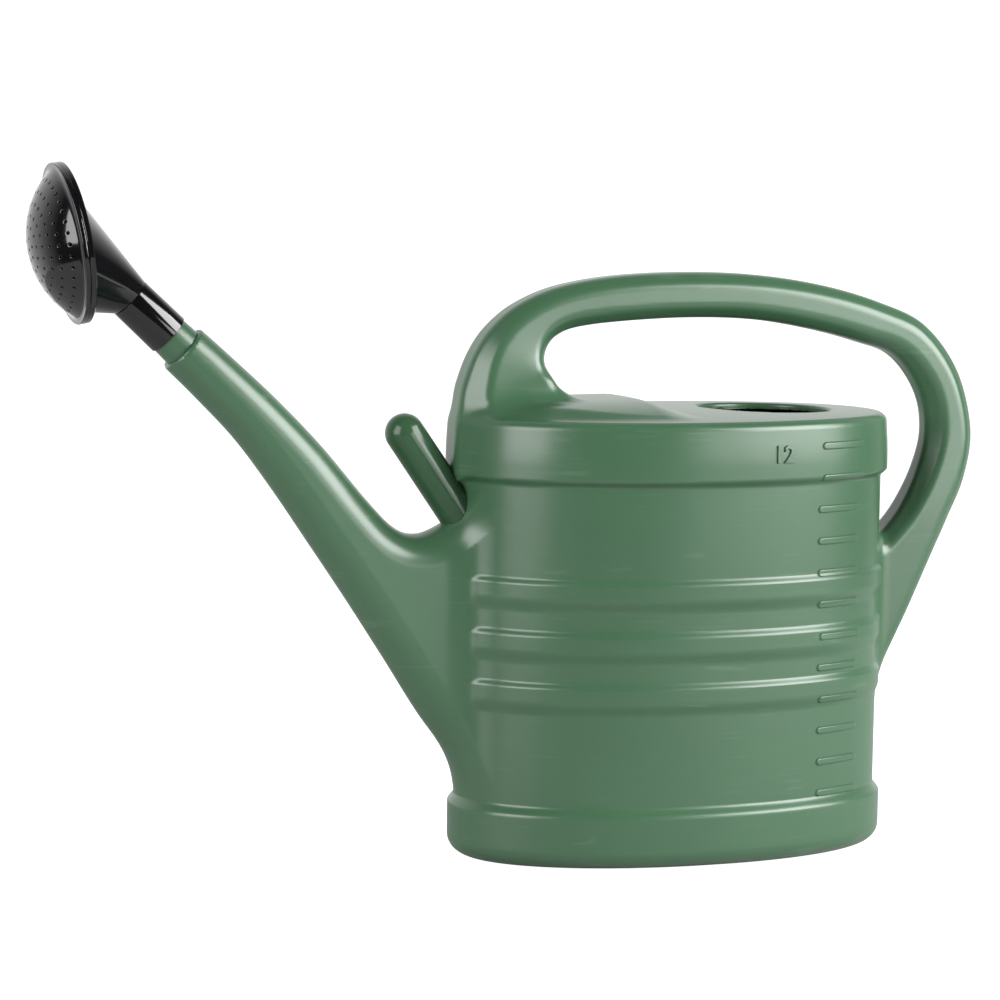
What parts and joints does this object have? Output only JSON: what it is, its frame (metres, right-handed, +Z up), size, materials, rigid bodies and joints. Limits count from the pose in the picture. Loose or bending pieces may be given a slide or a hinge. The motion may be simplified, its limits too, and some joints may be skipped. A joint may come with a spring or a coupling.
{
  "type": "watering can",
  "caption": "Oval blow-moulded garden watering can with a loop handle, a long spout, a litre scale, a parking peg and a black removable rose.",
  "frame": {"origin": "on the ground, at the centre of the flat underside of the tank", "axes": "+X from the spout towards the handle grip, +Z up, the mould parts on the plane Y = 0"},
  "size_m": [0.6874, 0.209, 0.4752],
  "materials": {
    "can_plastic": "satin green polyethylene with faint drag lines from the mould",
    "peg_plastic": "smooth satin green plastic, a shade darker and glossier than the can",
    "rose_plastic": "glossy black polypropylene"
  },
  "bodies": {
    "can": {"tank_shell": "can_plastic", "top_deck": "can_plastic", "handle": "can_plastic", "spout": "can_plastic", "spout_spigot": "can_plastic", "parking_peg": "peg_plastic"},
    "rose_sleeve": {"rose_sleeve": "rose_plastic"},
    "rose_funnel": {"rose_funnel": "rose_plastic"},
    "rose_face": {"rose_face": "rose_plastic"}
  },
  "joints": [
    {"name": "rose_pull_off", "type": "slide", "parent": "can", "child": "rose_sleeve", "axis": [-0.7314, 0, 0.682], "range_m": [0, 0.025]},
    {"name": "rose_turn", "type": "hinge", "parent": "rose_sleeve", "child": "rose_funnel", "pos_m": [-0.38712, 0, 0.38571], "axis": [-0.7314, 0, 0.682], "continuous": true},
    {"name": "face_release", "type": "slide", "parent": "rose_funnel", "child": "rose_face", "axis": [-0.9914, 0, -0.1305], "range_m": [0, 0.012]}
  ]
}
